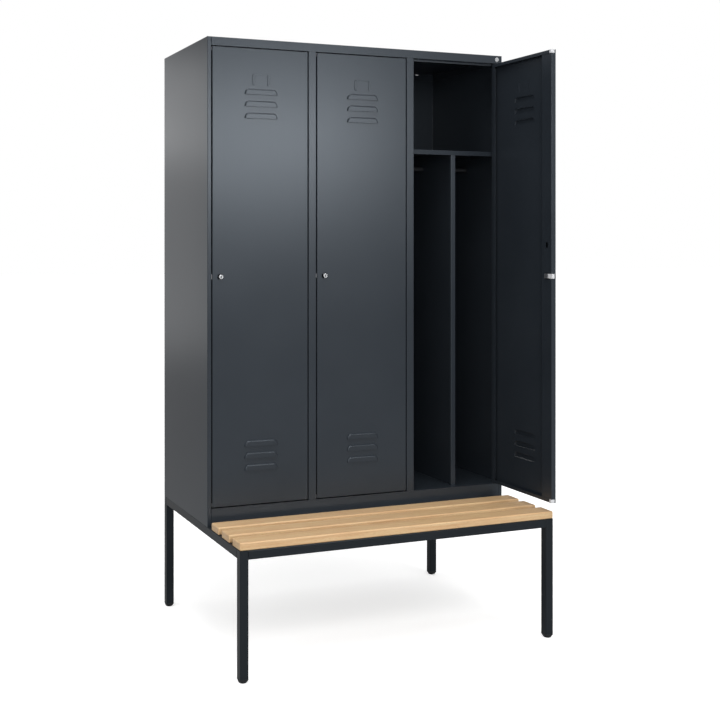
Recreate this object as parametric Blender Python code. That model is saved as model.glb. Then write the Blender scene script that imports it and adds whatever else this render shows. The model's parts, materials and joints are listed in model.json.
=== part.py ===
# Steel wardrobe locker on a bench frame.
# Three compartments, each with a hat shelf, a divider, a coat rail and a door with a key lock.
# A square tube frame carries the cabinet and a slatted beech bench in front of it.
# Metres, +Z up. Sizes are laid out from the cabinet's left front edge at floor level,
# and the assembly empty moves that corner so that the origin is under the middle of the whole.

import math

import bmesh
import bpy
from mathutils import Vector

# Cabinet
compartment_count = 3
compartment_pitch = 0.400
cabinet_depth = 0.500
cabinet_height = 1.700
sheet = 0.001
bend_radius = 0.0016
bend_steps = 2
stile_width = 0.030
rear_return = 0.015
top_rail_height = 0.0295
bottom_rail_height = 0.0625
rebate_depth = 0.0205
stop_lip = 0.0075
wall_slot_width = 0.014
wall_slot_height = 0.0012
wall_slot_inset = 0.079
wall_slot_drop = 0.0052

# Running and seating clearances
fit_gap = 0.0003
door_gap = 0.0035
cut_overrun = 0.002

# Doors
door_thickness = 0.018
pivot_inset = 0.0065
pivot_depth = 0.0045
door_lip = 0.012
hinge_lip = 0.020
stiffener_width = 0.058
stiffener_foot = 0.010
stiffener_slot_width = 0.012
stiffener_slot_height = 0.019
stiffener_window_height = 0.022
stiffener_slot_inset = 0.029
stiffener_slot_rise = 0.110
open_door = 3
open_angle = math.radians(90)

# Louvres and label frame pressed into each door
louvre_width = 0.125
louvre_height = 0.020
louvre_pitch = 0.042
louvre_rise = 0.0055
louvre_corner = 0.016
louvre_swell_share = 0.5
louvre_count = 3
louvre_top_drop = 0.1415
louvre_bottom_rise = 0.1205
louvre_offset = 0.0005
louvre_across = 3
louvre_down = 5
label_width = 0.066
label_height = 0.038
label_drop = 0.0905
label_ridge = 0.0035
label_ridge_rise = 0.0012

# Lock, latch and buffers
lock_inset = 0.0293
lock_height = 0.8003
plug_face_radius = 0.0085
plug_face_rise = 0.008
plug_barrel_radius = 0.0062
plug_barrel_length = 0.011
keyway_width = 0.0022
keyway_height = 0.0075
keyway_depth = 0.0018
housing_width = 0.019
housing_height = 0.0165
housing_proud = 0.0035
bolt_front = 0.007
bolt_reach = 0.0026
buffer_front = 0.005
buffer_width = 0.010
buffer_height = 0.013
buffer_proud = 0.0022
soft_edge = 0.0012
pin_radius = 0.0025
pin_collar_radius = 0.0038
pin_grip = 0.014
pin_reach = 0.003

# Inside fittings
shelf_drop = 0.3665
shelf_edge = 0.017
shelf_setback = 0.024
divider_face = 0.020
divider_fold = 0.014
divider_foot = 0.012
partition_foot = 0.012
rail_radius = 0.0085
rail_wall = 0.0015
rail_flange_radius = 0.014
rail_flange = 0.002
rail_drop = 0.048

# Bench frame, slats and feet
tube = 0.030
tube_wall = 0.0015
tube_corner = 0.0025
frame_height = 0.425
bench_depth = 0.310
slat_count = 3
slat_thickness = 0.026
slat_width = 0.070
slat_clear = 0.040
slat_round = 0.0045
slat_round_steps = 2
foot_height = 0.014
foot_round = 0.005
foot_round_height = 0.010
foot_round_steps = 4
foot_circle_share = 0.96
foot_stub = 0.022

# Round cap on the top rail
cap_radius = 0.0085
cap_rise = 0.0016
cap_inset = 0.023
cap_stub_radius = 0.004
cap_stub = 0.004

# Round shapes
lock_sides = 24
pin_sides = 12
rail_sides = 16
tube_corner_steps = 2

# Sizes worked out from the ones above
half_sheet = sheet / 2
half_stile = stile_width / 2
cabinet_width = compartment_count * compartment_pitch
cabinet_base = frame_height + fit_gap
cabinet_top = cabinet_base + cabinet_height
rail_underside = cabinet_top - top_rail_height
floor_level = cabinet_base + bottom_rail_height
door_bottom = floor_level + door_gap
door_top = rail_underside - door_gap
door_width = compartment_pitch - stile_width - 2 * door_gap
door_reach = door_width - pivot_inset
door_front = -pivot_depth
door_back = door_front + door_thickness
door_free_edge = -door_reach
tray_side = sheet + fit_gap
tray_front = rebate_depth + fit_gap
back_panel_rear = cabinet_depth - sheet - fit_gap
back_panel_front = back_panel_rear - sheet
tray_rear = back_panel_front - fit_gap
back_inset = tray_side + bend_radius
lip_front = tray_front + fit_gap
lip_clear = lip_front + sheet + fit_gap
shelf_level = cabinet_top - shelf_drop
lock_level = cabinet_base + bottom_rail_height + door_gap + lock_height
leg_bottom = foot_height
open_reach = (door_reach + bolt_reach) * math.sin(open_angle) - pivot_depth
origin_x = cabinet_width / 2
origin_y = (cabinet_depth - open_reach) / 2


def colour_material(name, colour, roughness, metallic):
    material = bpy.data.materials.new(name)
    material.use_nodes = True
    shader = material.node_tree.nodes["Principled BSDF"]
    shader.inputs["Base Color"].default_value = (*colour, 1)
    shader.inputs["Roughness"].default_value = roughness
    shader.inputs["Metallic"].default_value = metallic
    material.diffuse_color = (*colour, 1)
    return material


finishes = {
    "coat": ((0.045, 0.052, 0.060), 0.45, 0.0),
    "frame_coat": ((0.022, 0.025, 0.028), 0.5, 0.0),
    "beech": ((0.62, 0.40, 0.20), 0.5, 0.0),
    "white_plastic": ((0.80, 0.80, 0.78), 0.4, 0.0),
    "black_plastic": ((0.012, 0.012, 0.013), 0.55, 0.0),
    "chrome": ((0.75, 0.75, 0.75), 0.15, 1.0),
    "zinc": ((0.45, 0.45, 0.46), 0.35, 1.0),
}


def new_empty(name, parent, location, turn=0.0):
    empty = bpy.data.objects.new(name, None)
    bpy.context.scene.collection.objects.link(empty)
    empty.parent = parent
    empty.location = location
    empty.rotation_euler = (0, 0, turn)
    return empty


def finish_mesh(shape):
    """Turn the faces outward and return the shape as a mesh."""
    bmesh.ops.recalc_face_normals(shape, faces=shape.faces[:])
    mesh = bpy.data.meshes.new("shape")
    shape.to_mesh(mesh)
    shape.free()
    return mesh


def add_piece(name, mesh, parent, finish, location=(0, 0, 0)):
    piece = bpy.data.objects.new(name, mesh)
    mesh.name = name
    bpy.context.scene.collection.objects.link(piece)
    piece.parent = parent
    piece.location = location
    mesh.materials.append(colour_material(name, *finishes[finish]))
    return piece


def ring_body(loops):
    """A closed body through loops of equally many points, capped at its first and last loop."""
    shape = bmesh.new()
    rings = [[shape.verts.new(point) for point in loop] for loop in loops]
    shape.faces.new(rings[0])
    shape.faces.new(rings[-1])
    for lower, upper in zip(rings, rings[1:]):
        for index in range(len(lower)):
            after = (index + 1) % len(lower)
            shape.faces.new((lower[index], lower[after], upper[after], upper[index]))
    return finish_mesh(shape)


def box(low, high):
    """A plain block between two corners."""
    (x0, y0, z0), (x1, y1, z1) = low, high
    corners = ((x0, y0), (x1, y0), (x1, y1), (x0, y1))
    return ring_body([[(x, y, z) for x, y in corners] for z in (z0, z1)])


def offset_outline(points, distance, closed=True):
    """The points moved sideways by the distance, to the left of their direction."""
    moved = []
    count = len(points)
    for index, point in enumerate(points):
        here = Vector(point)
        before = Vector(points[index - 1]) if closed or index > 0 else None
        after = Vector(points[(index + 1) % count]) if closed or index < count - 1 else None
        sides = []
        if before is not None:
            sides.append((here - before).normalized())
        if after is not None:
            sides.append((after - here).normalized())
        normals = [Vector((-side.y, side.x)) for side in sides]
        normal = (normals[0] + normals[-1]).normalized()
        moved.append(tuple(here + normal * (distance / normal.dot(normals[0]))))
    return moved


def rounded_path(points, radius, steps):
    """An open path whose inner corners are replaced by arcs of the radius."""
    path = [tuple(points[0])]
    for before, corner, after in zip(points, points[1:], points[2:]):
        here = Vector(corner)
        arriving = (here - Vector(before)).normalized()
        leaving = (Vector(after) - here).normalized()
        turn = arriving.angle_signed(leaving)
        setback = radius * math.tan(abs(turn) / 2)
        start = here - arriving * setback
        side = Vector((-arriving.y, arriving.x)) if turn < 0 else Vector((arriving.y, -arriving.x))
        centre = start + side * radius
        spoke = start - centre
        for step in range(steps + 1):
            angle = -turn * step / steps
            turned = Vector((
                spoke.x * math.cos(angle) - spoke.y * math.sin(angle),
                spoke.x * math.sin(angle) + spoke.y * math.cos(angle),
            ))
            path.append(tuple(centre + turned))
    path.append(tuple(points[-1]))
    return path


def folded_sheet(path, start, end):
    """A folded strip of sheet metal whose middle follows the path in plan, between two heights."""
    middle = rounded_path(path, bend_radius, bend_steps)
    left = offset_outline(middle, half_sheet, closed=False)
    right = offset_outline(middle, -half_sheet, closed=False)
    outline = left + right[::-1]
    return ring_body([[(x, y, level) for x, y in outline] for level in (start, end)])


def tray(outline, underside, top):
    """A sheet with all its edges turned down, seen from above along the outline."""
    inner = offset_outline(outline, sheet)
    loops = (
        (inner, top - sheet),
        (inner, underside),
        (outline, underside),
        (outline, top),
    )
    return ring_body([[(x, y, level) for x, y in points] for points, level in loops])


def disc_points(radius, sides, turn=0.0):
    return [
        (
            radius * math.cos(turn + 2 * math.pi * index / sides),
            radius * math.sin(turn + 2 * math.pi * index / sides),
        )
        for index in range(sides)
    ]


def turned(profile, sides, axis="Z"):
    """A turned solid: the profile holds (radius, place along the axis), from end to end."""
    loops = []
    for radius, place in profile:
        ring = disc_points(radius, sides)
        if axis == "Z":
            loops.append([(a, b, place) for a, b in ring])
        elif axis == "Y":
            loops.append([(a, place, b) for a, b in ring])
        else:
            loops.append([(place, a, b) for a, b in ring])
    return ring_body(loops)


def hollow_turned(outer, inner, sides):
    """An open tube along X: the outer and inner profiles hold (radius, place)."""
    shape = bmesh.new()
    rings = []
    for radius, place in outer + inner[::-1]:
        rings.append([shape.verts.new((place, a, b)) for a, b in disc_points(radius, sides)])
    for lower, upper in zip(rings, rings[1:] + rings[:1]):
        for index in range(sides):
            after = (index + 1) % sides
            shape.faces.new((lower[index], lower[after], upper[after], upper[index]))
    return finish_mesh(shape)


def rounded_square(low, high, inset, radius):
    """Corner points of a square between two corners, drawn in by the inset, with rounded corners."""
    (a0, b0), (a1, b1) = low, high
    reach = inset + radius
    left, right = a0 + reach, a1 - reach
    near, far = b0 + reach, b1 - reach
    centres = ((right, far), (left, far), (left, near), (right, near))
    points = []
    for quarter, (a, b) in enumerate(centres):
        for step in range(tube_corner_steps + 1):
            turn = math.pi / 2 * (quarter + step / tube_corner_steps)
            points.append((a + radius * math.cos(turn), b + radius * math.sin(turn)))
    return points


def square_tube(length_axis, low, high):
    """A square tube with open ends and rounded corners between two corners."""
    axis = "XYZ".index(length_axis)
    across = [index for index in range(3) if index != axis]
    flat_low = [low[index] for index in across]
    flat_high = [high[index] for index in across]
    outer = rounded_square(flat_low, flat_high, 0, tube_corner)
    inner = rounded_square(flat_low, flat_high, tube_wall, tube_corner - tube_wall)
    shape = bmesh.new()
    rings = []
    for outline, end in (
        (outer, low[axis]),
        (outer, high[axis]),
        (inner, high[axis]),
        (inner, low[axis]),
    ):
        ring = []
        for a, b in outline:
            point = [0, 0, 0]
            point[axis] = end
            point[across[0]] = a
            point[across[1]] = b
            ring.append(shape.verts.new(point))
        rings.append(ring)
    for lower, upper in zip(rings, rings[1:] + rings[:1]):
        for index in range(len(lower)):
            after = (index + 1) % len(lower)
            shape.faces.new((lower[index], lower[after], upper[after], upper[index]))
    return finish_mesh(shape)


def joined(meshes):
    """Several closed shapes in one mesh, to be used as one cutter or one addition."""
    shape = bmesh.new()
    for mesh in meshes:
        shape.from_mesh(mesh)
        bpy.data.meshes.remove(mesh)
    mesh = bpy.data.meshes.new("tool")
    shape.to_mesh(mesh)
    shape.free()
    return mesh


def combine(mesh, tool_meshes, operation):
    """Add the tools to a mesh or cut them out of it, and return the new mesh."""
    collection = bpy.context.scene.collection
    base = bpy.data.objects.new("base", mesh)
    tool_mesh = joined(tool_meshes)
    tool = bpy.data.objects.new("tool", tool_mesh)
    tool.hide_render = True
    tool.display_type = "WIRE"
    collection.objects.link(base)
    collection.objects.link(tool)
    change = base.modifiers.new("combine", "BOOLEAN")
    change.operation = operation
    change.solver = "EXACT"
    change.object = tool
    bpy.context.view_layer.update()
    graph = bpy.context.evaluated_depsgraph_get()
    result = bpy.data.meshes.new_from_object(base.evaluated_get(graph))
    bpy.data.objects.remove(base)
    bpy.data.objects.remove(tool)
    bpy.data.meshes.remove(mesh)
    bpy.data.meshes.remove(tool_mesh)
    return result


def cut(mesh, *tools):
    return combine(mesh, list(tools), "DIFFERENCE")


def add(mesh, *tools):
    return combine(mesh, list(tools), "UNION")


def soften(mesh, width, steps=1):
    """Round every edge of a block."""
    shape = bmesh.new()
    shape.from_mesh(mesh)
    bmesh.ops.bevel(
        shape,
        geom=shape.edges[:],
        offset=width,
        segments=steps,
        profile=0.5,
        affect="EDGES",
        clamp_overlap=True,
    )
    bpy.data.meshes.remove(mesh)
    return finish_mesh(shape)


def smooth_round(piece, angle=math.radians(32)):
    piece.data.shade_smooth()
    piece.data.set_sharp_from_angle(angle=angle)


def pivot_x(number):
    """The hinge axis of a door, counted from 1 at the left."""
    return number * compartment_pitch - half_stile - door_gap - pivot_inset


def cabinet_outline():
    """The plan of the top and the floor, notched at the front corners for the corner stiles."""
    left = half_stile + fit_gap
    right = cabinet_width - left
    return [
        (left, 0),
        (right, 0),
        (right, tray_front),
        (cabinet_width - tray_side, tray_front),
        (cabinet_width - tray_side, tray_rear),
        (tray_side, tray_rear),
        (tray_side, tray_front),
        (left, tray_front),
    ]


def hinge_holes(low, high):
    """Cutters for the pivot pins of all doors, between two heights."""
    holes = []
    for number in range(1, compartment_count + 1):
        ring = disc_points(pin_radius + fit_gap, pin_sides)
        centre = (pivot_x(number), pivot_depth)
        holes.append(ring_body([
            [(centre[0] + a, centre[1] + b, level) for a, b in ring] for level in (low, high)
        ]))
    return holes


def wall_slots(front, rear):
    """Cutters for the two wall fixing slots near the top of the back."""
    middle = cabinet_top - wall_slot_drop
    slots = []
    for centre in (wall_slot_inset, cabinet_width - wall_slot_inset):
        slots.append(box(
            (centre - wall_slot_width / 2, front, middle - wall_slot_height / 2),
            (centre + wall_slot_width / 2, rear, middle + wall_slot_height / 2),
        ))
    return slots


def strike_slot(edge):
    """Cutter for the hole that the latch bolt enters, in the stile return that ends at the edge."""
    return box(
        (
            edge - sheet - cut_overrun,
            pivot_depth + door_front + bolt_front - fit_gap,
            lock_level - housing_height / 2 - fit_gap,
        ),
        (
            edge + cut_overrun,
            pivot_depth + door_back + fit_gap,
            lock_level + housing_height / 2 + fit_gap,
        ),
    )


def make_side_panel(name, mirrored, parent):
    """Side wall with the outer stile folded at its front and a return at its back."""
    path = [
        (half_sheet + bend_radius + sheet, rebate_depth - half_sheet),
        (half_stile - half_sheet, rebate_depth - half_sheet),
        (half_stile - half_sheet, half_sheet),
        (half_sheet, half_sheet),
        (half_sheet, cabinet_depth - half_sheet),
        (rear_return, cabinet_depth - half_sheet),
    ]
    if mirrored:
        path = [(cabinet_width - x, y) for x, y in path]
    mesh = folded_sheet(path, cabinet_base, cabinet_top)
    if not mirrored:
        mesh = cut(mesh, strike_slot(half_stile))
    return add_piece(name, mesh, parent, "coat")


def make_top_panel(parent):
    """Top with its edges turned down. The front edge is the top rail, with the lip that stops the doors."""
    mesh = tray(cabinet_outline(), rail_underside + half_sheet, cabinet_top)
    inset = half_stile + fit_gap + half_sheet
    lip = [
        (half_sheet / 2, rail_underside),
        (lip_front, rail_underside),
        (lip_front, rail_underside - stop_lip),
        (lip_front + sheet, rail_underside - stop_lip),
        (lip_front + sheet, rail_underside + sheet),
        (half_sheet / 2, rail_underside + sheet),
    ]
    mesh = add(mesh, ring_body([
        [(level, y, z) for y, z in lip] for level in (inset, cabinet_width - inset)
    ]))
    cap_x, cap_z = cap_place()
    stub_hole = disc_points(cap_stub_radius + fit_gap, pin_sides)
    mesh = cut(
        mesh,
        *hinge_holes(rail_underside - cut_overrun, rail_underside + sheet + cut_overrun),
        *wall_slots(tray_rear - sheet - cut_overrun, tray_rear + cut_overrun),
        ring_body([
            [(cap_x + a, level, cap_z + b) for a, b in stub_hole]
            for level in (-cut_overrun, sheet + cut_overrun)
        ]),
    )
    return add_piece("top_panel", mesh, parent, "coat")


def cap_place():
    """Distance from the left and height of the round cap's middle."""
    return cabinet_width - cap_inset, cabinet_top - top_rail_height / 2


def make_rail_cap(parent):
    """Bare round cap on the front of the top rail, held by a stub through the sheet."""
    profile = [
        (cap_stub_radius, sheet + cap_stub),
        (cap_stub_radius, -fit_gap),
        (cap_radius, -fit_gap),
        (cap_radius, -fit_gap - cap_rise / 2),
        (cap_radius - cap_rise / 2, -fit_gap - cap_rise),
    ]
    cap_x, cap_z = cap_place()
    mesh = turned(profile, lock_sides, "Y")
    piece = add_piece("rail_cap", mesh, parent, "zinc", (cap_x, 0, cap_z))
    smooth_round(piece)
    return piece


def make_floor_panel(parent):
    """Floor with its edges turned down. The front edge is the bottom rail."""
    mesh = tray(cabinet_outline(), cabinet_base, floor_level)
    mesh = cut(mesh, *hinge_holes(floor_level - sheet - cut_overrun, floor_level + cut_overrun))
    return add_piece("floor_panel", mesh, parent, "coat")


def make_back_panel(parent):
    mesh = box(
        (back_inset, back_panel_front, cabinet_base),
        (cabinet_width - back_inset, back_panel_rear, cabinet_top),
    )
    mesh = cut(mesh, *wall_slots(back_panel_front - cut_overrun, back_panel_rear + cut_overrun))
    return add_piece("back_panel", mesh, parent, "coat")


def make_partition(number, parent):
    """Wall between two compartments, folded into the stile between their doors."""
    middle = number * compartment_pitch
    left = middle - half_stile
    right = middle + half_stile
    rear = tray_rear - sheet - fit_gap - half_sheet
    path = [
        (left + half_sheet, rebate_depth - half_sheet),
        (left + half_sheet, half_sheet),
        (right - half_sheet, half_sheet),
        (right - half_sheet, rebate_depth - half_sheet),
        (middle, rebate_depth - half_sheet),
        (middle, rear),
        (middle + partition_foot, rear),
    ]
    mesh = folded_sheet(path, floor_level + fit_gap, cabinet_top - sheet - fit_gap)
    rail_notch = box(
        (left - cut_overrun, -cut_overrun, rail_underside - fit_gap),
        (right + cut_overrun, lip_clear, cabinet_top),
    )
    lip_notch = box(
        (left - cut_overrun, tray_front, rail_underside - stop_lip - fit_gap),
        (right + cut_overrun, lip_clear, cabinet_top),
    )
    mesh = cut(mesh, rail_notch, strike_slot(right))
    mesh = cut(mesh, lip_notch)
    return add_piece(f"partition_{number}", mesh, parent, "coat")


def compartment_walls(number):
    """The inner faces of a compartment's two walls."""
    low = (number - 1) * compartment_pitch + (sheet if number == 1 else half_sheet)
    high = number * compartment_pitch - (sheet if number == compartment_count else half_sheet)
    return low, high


def make_hat_shelf(number, parent):
    low, high = compartment_walls(number)
    low += fit_gap
    high -= fit_gap
    outline = [(low, shelf_setback), (high, shelf_setback), (high, tray_rear), (low, tray_rear)]
    if number > 1:
        foot_front = tray_rear - 2 * sheet - 2 * fit_gap
        foot_side = low + partition_foot
        outline = outline[:3] + [
            (foot_side, tray_rear),
            (foot_side, foot_front - fit_gap),
            (low, foot_front - fit_gap),
        ]
    mesh = tray(outline, shelf_level - shelf_edge, shelf_level)
    return add_piece(f"hat_shelf_{number}", mesh, parent, "coat")


def rail_place():
    """Depth and height of the coat rails."""
    return cabinet_depth / 2, shelf_level - shelf_edge - rail_drop + rail_radius


def make_divider(number, parent):
    """Upright sheet that halves the space under the hat shelf, with a folded front edge."""
    middle = (number - 1) * compartment_pitch + compartment_pitch / 2
    front = shelf_setback + sheet + fit_gap + half_sheet
    left = middle - divider_face / 2 + half_sheet
    right = middle + divider_face / 2 - half_sheet
    rear = tray_rear - sheet - fit_gap - half_sheet
    path = [
        (left, front + divider_fold),
        (left, front),
        (right, front),
        (right, front + divider_fold),
        (middle, front + divider_fold),
        (middle, rear),
        (middle + divider_foot, rear),
    ]
    mesh = folded_sheet(path, floor_level + fit_gap, shelf_level - sheet - fit_gap)
    rail_y, rail_z = rail_place()
    ring = disc_points(rail_radius + fit_gap, rail_sides)
    hole = ring_body([
        [(level, rail_y + a, rail_z + b) for a, b in ring]
        for level in (middle - cut_overrun, middle + cut_overrun)
    ])
    mesh = cut(mesh, hole)
    return add_piece(f"divider_{number}", mesh, parent, "coat")


def make_coat_rail(number, parent):
    """Tube from wall to wall, through the divider, with a round flange at each end."""
    low, high = compartment_walls(number)
    low += fit_gap
    high -= fit_gap
    outer = [
        (rail_flange_radius, low),
        (rail_flange_radius, low + rail_flange),
        (rail_radius, low + rail_flange),
        (rail_radius, high - rail_flange),
        (rail_flange_radius, high - rail_flange),
        (rail_flange_radius, high),
    ]
    bore = rail_radius - rail_wall
    mesh = hollow_turned(outer, [(bore, low), (bore, high)], rail_sides)
    rail_y, rail_z = rail_place()
    piece = add_piece(f"coat_rail_{number}", mesh, parent, "zinc", (0, rail_y, rail_z))
    smooth_round(piece)
    return piece


def rectangle(x0, x1, z0, z1, inset, level):
    """Four points of an upright rectangle, drawn in by the inset."""
    return [
        (x0 + inset, level, z0 + inset),
        (x1 - inset, level, z0 + inset),
        (x1 - inset, level, z1 - inset),
        (x0 + inset, level, z1 - inset),
    ]


def louvre_loops(top, wall, back):
    """Level loops of a pressed hood from top to bottom, drawn in by the wall and closed at the back."""
    flat = louvre_width / 2 - louvre_corner
    middle = louvre_middle()
    loops = []
    for row in range(louvre_down):
        lean = math.pi / 2 * (row + 1) / louvre_down
        level = top - wall - (louvre_height - wall) * (1 - math.cos(lean))
        swell = math.sin(lean) ** louvre_swell_share
        corner = (louvre_corner - wall) * math.sin(lean)
        rise = (louvre_rise - wall) * swell
        side = [(flat + corner, back)]
        for column in range(louvre_across + 1):
            turn = math.pi / 2 * column / louvre_across
            side.append((flat + corner * math.cos(turn), door_front - rise * math.sin(turn)))
        left = [(middle - x, y, level) for x, y in side]
        right = [(middle + x, y, level) for x, y in side]
        loops.append(left + right[::-1])
    return loops


def louvre_hood(top):
    """One pressed hood with rounded ends, before it is hollowed."""
    return ring_body(louvre_loops(top, 0, door_front + half_sheet))


def louvre_cutter(top):
    """The hollow of one hood, open through the sheet behind it and at its lower edge."""
    loops = louvre_loops(top, sheet, door_front + sheet + cut_overrun)
    lowest = [(x, y, z - fit_gap) for x, y, z in loops[-1]]
    return ring_body(loops + [lowest])


def louvre_middle():
    return pivot_inset - door_width / 2 + louvre_offset


def louvre_tops():
    """Heights of the top edges of all hoods in a door."""
    upper = [door_top - louvre_top_drop - index * louvre_pitch for index in range(louvre_count)]
    lowest = door_bottom + louvre_bottom_rise + louvre_height
    lower = [lowest + index * louvre_pitch for index in range(louvre_count)]
    return upper + lower


def label_ridges():
    """Two upright ridges that hold a name card."""
    centre_z = door_top - label_drop - label_height / 2
    middle = louvre_middle()
    ridges = []
    for side in (-1, 1):
        centre_x = middle + side * (label_width - label_ridge) / 2
        loops = []
        for inset, level in (
            (0, door_front + half_sheet),
            (0, door_front),
            (label_ridge / 4, door_front - label_ridge_rise),
        ):
            loops.append(rectangle(
                centre_x - label_ridge / 2,
                centre_x + label_ridge / 2,
                centre_z - label_height / 2,
                centre_z + label_height / 2,
                inset,
                level,
            ))
        ridges.append(ring_body(loops))
    return ridges


def corner_box(bottom, clear):
    """The block at a free corner of the door that the buffer fills, or its cutter when clear is given."""
    low = door_bottom if bottom else door_top - buffer_height
    high = low + buffer_height
    if clear:
        low -= cut_overrun if bottom else clear
        high += clear if bottom else cut_overrun
    return (
        (door_free_edge - (cut_overrun if clear else 0), door_front + buffer_front - clear, low),
        (door_free_edge + buffer_width + clear, door_back + (cut_overrun if clear else buffer_proud), high),
    )


def bolt_box(clear):
    """The latch bolt's block at the free edge, or its cutter when clear is given."""
    return (
        (
            door_free_edge - (cut_overrun if clear else bolt_reach),
            door_front + bolt_front - clear,
            lock_level - housing_height / 2 - clear,
        ),
        (
            door_free_edge + lock_inset - housing_width / 2 - (0 if clear else fit_gap),
            door_back + (cut_overrun if clear else 0),
            lock_level + housing_height / 2 + clear,
        ),
    )


def make_door_panel(number, hinge):
    """Pressed steel door: a front with its edges folded back and in, louvres and a card holder."""
    x0, x1 = door_free_edge, pivot_inset
    z0, z1 = door_bottom, door_top
    quarter = 1 - math.sin(math.pi / 4)
    cavity = (x0 + sheet, x1 - sheet, z0 + sheet, z1 - sheet)
    opening = (x0 + door_lip, x1 - hinge_lip, z0 + door_lip, z1 - door_lip)
    loops = [
        rectangle(x0, x1, z0, z1, bend_radius, door_front),
        rectangle(x0, x1, z0, z1, bend_radius * quarter, door_front + bend_radius * quarter),
        rectangle(x0, x1, z0, z1, 0, door_front + bend_radius),
        rectangle(x0, x1, z0, z1, 0, door_back),
        rectangle(*opening, 0, door_back),
        rectangle(*opening, 0, door_back - sheet),
        rectangle(*cavity, 0, door_back - sheet),
        rectangle(*cavity, 0, door_front + sheet),
    ]
    mesh = ring_body(loops)
    tops = louvre_tops()
    mesh = add(mesh, *[louvre_hood(top) for top in tops], *label_ridges())
    lock_x = door_free_edge + lock_inset
    pin_hole = disc_points(pin_radius + fit_gap, pin_sides)
    barrel_hole = disc_points(plug_barrel_radius + fit_gap, lock_sides)
    mesh = cut(
        mesh,
        *[louvre_cutter(top) for top in tops],
        box(*corner_box(True, fit_gap)),
        box(*corner_box(False, fit_gap)),
        box(*bolt_box(fit_gap)),
        ring_body([
            [(lock_x + a, level, lock_level + b) for a, b in barrel_hole]
            for level in (door_front - cut_overrun, door_front + sheet + cut_overrun)
        ]),
        *[
            ring_body([[(a, b, level) for a, b in pin_hole] for level in levels])
            for levels in (
                (z0 - cut_overrun, z0 + sheet + cut_overrun),
                (z1 - sheet - cut_overrun, z1 + cut_overrun),
            )
        ],
    )
    return add_piece(f"door_panel_{number}", mesh, hinge, "coat")


def make_stiffener(number, hinge):
    """Upright channel inside the door's free side, which carries the lock and has a slot above it."""
    left = door_free_edge + sheet + fit_gap
    right = door_free_edge + stiffener_width - half_sheet
    back = door_back - sheet - fit_gap - half_sheet
    front = door_front + sheet + fit_gap + half_sheet
    path = [(left, back), (right, back), (right, front), (right + stiffener_foot, front)]
    mesh = folded_sheet(path, door_bottom + sheet + fit_gap, door_top - sheet - fit_gap)
    lock_x = door_free_edge + lock_inset
    slot_x = door_free_edge + stiffener_slot_inset
    slot_z = lock_level + stiffener_slot_rise
    mesh = cut(
        mesh,
        box(*corner_box(True, fit_gap)),
        box(*corner_box(False, fit_gap)),
        box(
            (
                slot_x - stiffener_slot_width / 2,
                back - half_sheet - cut_overrun,
                slot_z - stiffener_slot_height / 2,
            ),
            (
                slot_x + stiffener_slot_width / 2,
                back + half_sheet + cut_overrun,
                slot_z + stiffener_slot_height / 2,
            ),
        ),
        box(
            (
                door_free_edge,
                back - half_sheet - cut_overrun,
                lock_level - stiffener_window_height / 2,
            ),
            (
                lock_x + housing_width / 2 + fit_gap,
                back + half_sheet + cut_overrun,
                lock_level + stiffener_window_height / 2,
            ),
        ),
    )
    return add_piece(f"door_stiffener_{number}", mesh, hinge, "coat")


def make_lock_housing(number, hinge):
    """Lock case behind the door front, bored for the key barrel."""
    lock_x = door_free_edge + lock_inset
    mesh = box(
        (
            lock_x - housing_width / 2,
            door_front + sheet + fit_gap,
            lock_level - housing_height / 2,
        ),
        (
            lock_x + housing_width / 2,
            door_back + housing_proud,
            lock_level + housing_height / 2,
        ),
    )
    mesh = soften(mesh, soft_edge)
    bore = disc_points(plug_barrel_radius + fit_gap, lock_sides)
    bottom = door_front + plug_barrel_length + fit_gap
    mesh = cut(mesh, ring_body([
        [(lock_x + a, level, lock_level + b) for a, b in bore]
        for level in (door_front - cut_overrun, bottom)
    ]))
    return add_piece(f"lock_housing_{number}", mesh, hinge, "zinc")


def make_lock_plug(number, spindle):
    """Turning key plug: a round face on the door and a barrel in the housing, with a keyway."""
    seat = -fit_gap
    profile = [
        (plug_barrel_radius, plug_barrel_length),
        (plug_barrel_radius, seat),
        (plug_face_radius, seat),
        (plug_face_radius, seat - plug_face_rise + soft_edge / 2),
        (plug_face_radius - soft_edge, seat - plug_face_rise),
    ]
    mesh = turned(profile, lock_sides, "Y")
    face = seat - plug_face_rise
    mesh = cut(mesh, box(
        (-keyway_width / 2, face - cut_overrun, -keyway_height / 2),
        (keyway_width / 2, face + keyway_depth, keyway_height / 2),
    ))
    piece = add_piece(f"lock_plug_{number}", mesh, spindle, "chrome")
    smooth_round(piece)
    return piece


def make_latch_bolt(number, hinge):
    mesh = soften(box(*bolt_box(0)), soft_edge / 2)
    return add_piece(f"latch_bolt_{number}", mesh, hinge, "white_plastic")


def make_buffer(name, bottom, hinge):
    mesh = soften(box(*corner_box(bottom, 0)), soft_edge / 2)
    return add_piece(name, mesh, hinge, "white_plastic")


def make_hinge_pin(name, edge, direction, hinge):
    """Pivot pin through the door's edge into the rail, with a collar that keeps the door's gap."""
    profile = [
        (pin_radius, edge - direction * pin_grip),
        (pin_radius, edge + direction * fit_gap),
        (pin_collar_radius, edge + direction * fit_gap),
        (pin_collar_radius, edge + direction * (door_gap - fit_gap)),
        (pin_radius, edge + direction * (door_gap - fit_gap)),
        (pin_radius, edge + direction * (door_gap + sheet + pin_reach)),
    ]
    piece = add_piece(name, turned(profile, pin_sides), hinge, "zinc")
    smooth_round(piece)
    return piece


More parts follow.
